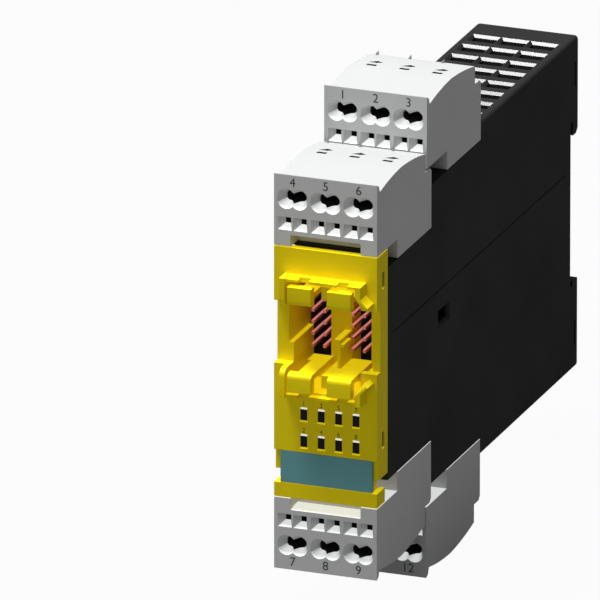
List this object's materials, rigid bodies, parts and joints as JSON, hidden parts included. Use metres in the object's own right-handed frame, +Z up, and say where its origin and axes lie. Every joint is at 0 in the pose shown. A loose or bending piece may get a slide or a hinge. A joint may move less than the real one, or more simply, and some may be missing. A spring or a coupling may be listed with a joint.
{
  "type": "safety expansion module",
  "caption": "Narrow rail-mounted safety module with removable spring terminal blocks, plug interfaces, status windows and vented housing.",
  "frame": {"origin": "middle of the face that seats on the 35 mm mounting rail", "axes": "+Z up on a vertical panel, front cover towards -Y, rail along X"},
  "size_m": [0.0226, 0.1243, 0.1048],
  "materials": {
    "housing_black": "fine satin moulded texture",
    "cover_yellow": "satin moulded",
    "label_teal": "smooth matt",
    "block_grey": "satin moulded",
    "guide_dark": "polished smoked",
    "light_white": "clear",
    "board_green": "solder mask",
    "connector_black": "matt",
    "chip_black": "matt epoxy",
    "capacitor_sleeve": "shrink sleeve",
    "coil_core": "ferrite",
    "latch_black": "smooth",
    "spring_steel": "drawn spring steel",
    "pin_copper": "plated, copper tint",
    "bar_copper": "bright copper alloy"
  },
  "bodies": {
    "module": {"housing": "housing_black", "front_cover": "cover_yellow", "label_plate": "label_teal", "light_guide": "guide_dark", "front_board": "board_green", "status_lights": "light_white", "board_connector": "connector_black", "main_board": "board_green", "processors": "chip_black", "capacitors": "capacitor_sleeve", "output_drivers": "chip_black", "supply_coil": "coil_core", "latch_spring": "spring_steel", "left_pin_header": "connector_black", "right_pin_header": "connector_black", "left_header_pins": "pin_copper", "right_header_pins": "pin_copper", "upper_front_plug_blades": "bar_copper", "upper_front_blade_strip": "connector_black", "upper_rear_terminal_block": "block_grey", "upper_rear_contact_bars": "bar_copper", "upper_rear_clamp_springs": "spring_steel", "upper_rear_plug_blades": "bar_copper", "upper_rear_blade_strip": "connector_black", "lower_front_plug_blades": "bar_copper", "lower_front_blade_strip": "connector_black", "lower_rear_terminal_block": "block_grey", "lower_rear_contact_bars": "bar_copper", "lower_rear_clamp_springs": "spring_steel", "lower_rear_plug_blades": "bar_copper", "lower_rear_blade_strip": "connector_black"},
    "upper_front_block": {"upper_front_terminal_block": "block_grey", "upper_front_contact_bars": "bar_copper", "upper_front_clamp_springs": "spring_steel"},
    "lower_front_block": {"lower_front_terminal_block": "block_grey", "lower_front_contact_bars": "bar_copper", "lower_front_clamp_springs": "spring_steel"},
    "rail_latch": {"rail_latch": "latch_black"}
  },
  "joints": [
    {"name": "upper_front_block_slide", "type": "slide", "parent": "module", "child": "upper_front_block", "axis": [0, -1, 0], "range_m": [0, 0.0055]},
    {"name": "lower_front_block_slide", "type": "slide", "parent": "module", "child": "lower_front_block", "axis": [0, -1, 0], "range_m": [0, 0.0055]},
    {"name": "rail_latch_slide", "type": "slide", "parent": "module", "child": "rail_latch", "axis": [0, 0, -1], "range_m": [0, 0.003], "stiffness_N_per_m": 1500, "deforming": ["latch_spring"]}
  ]
}
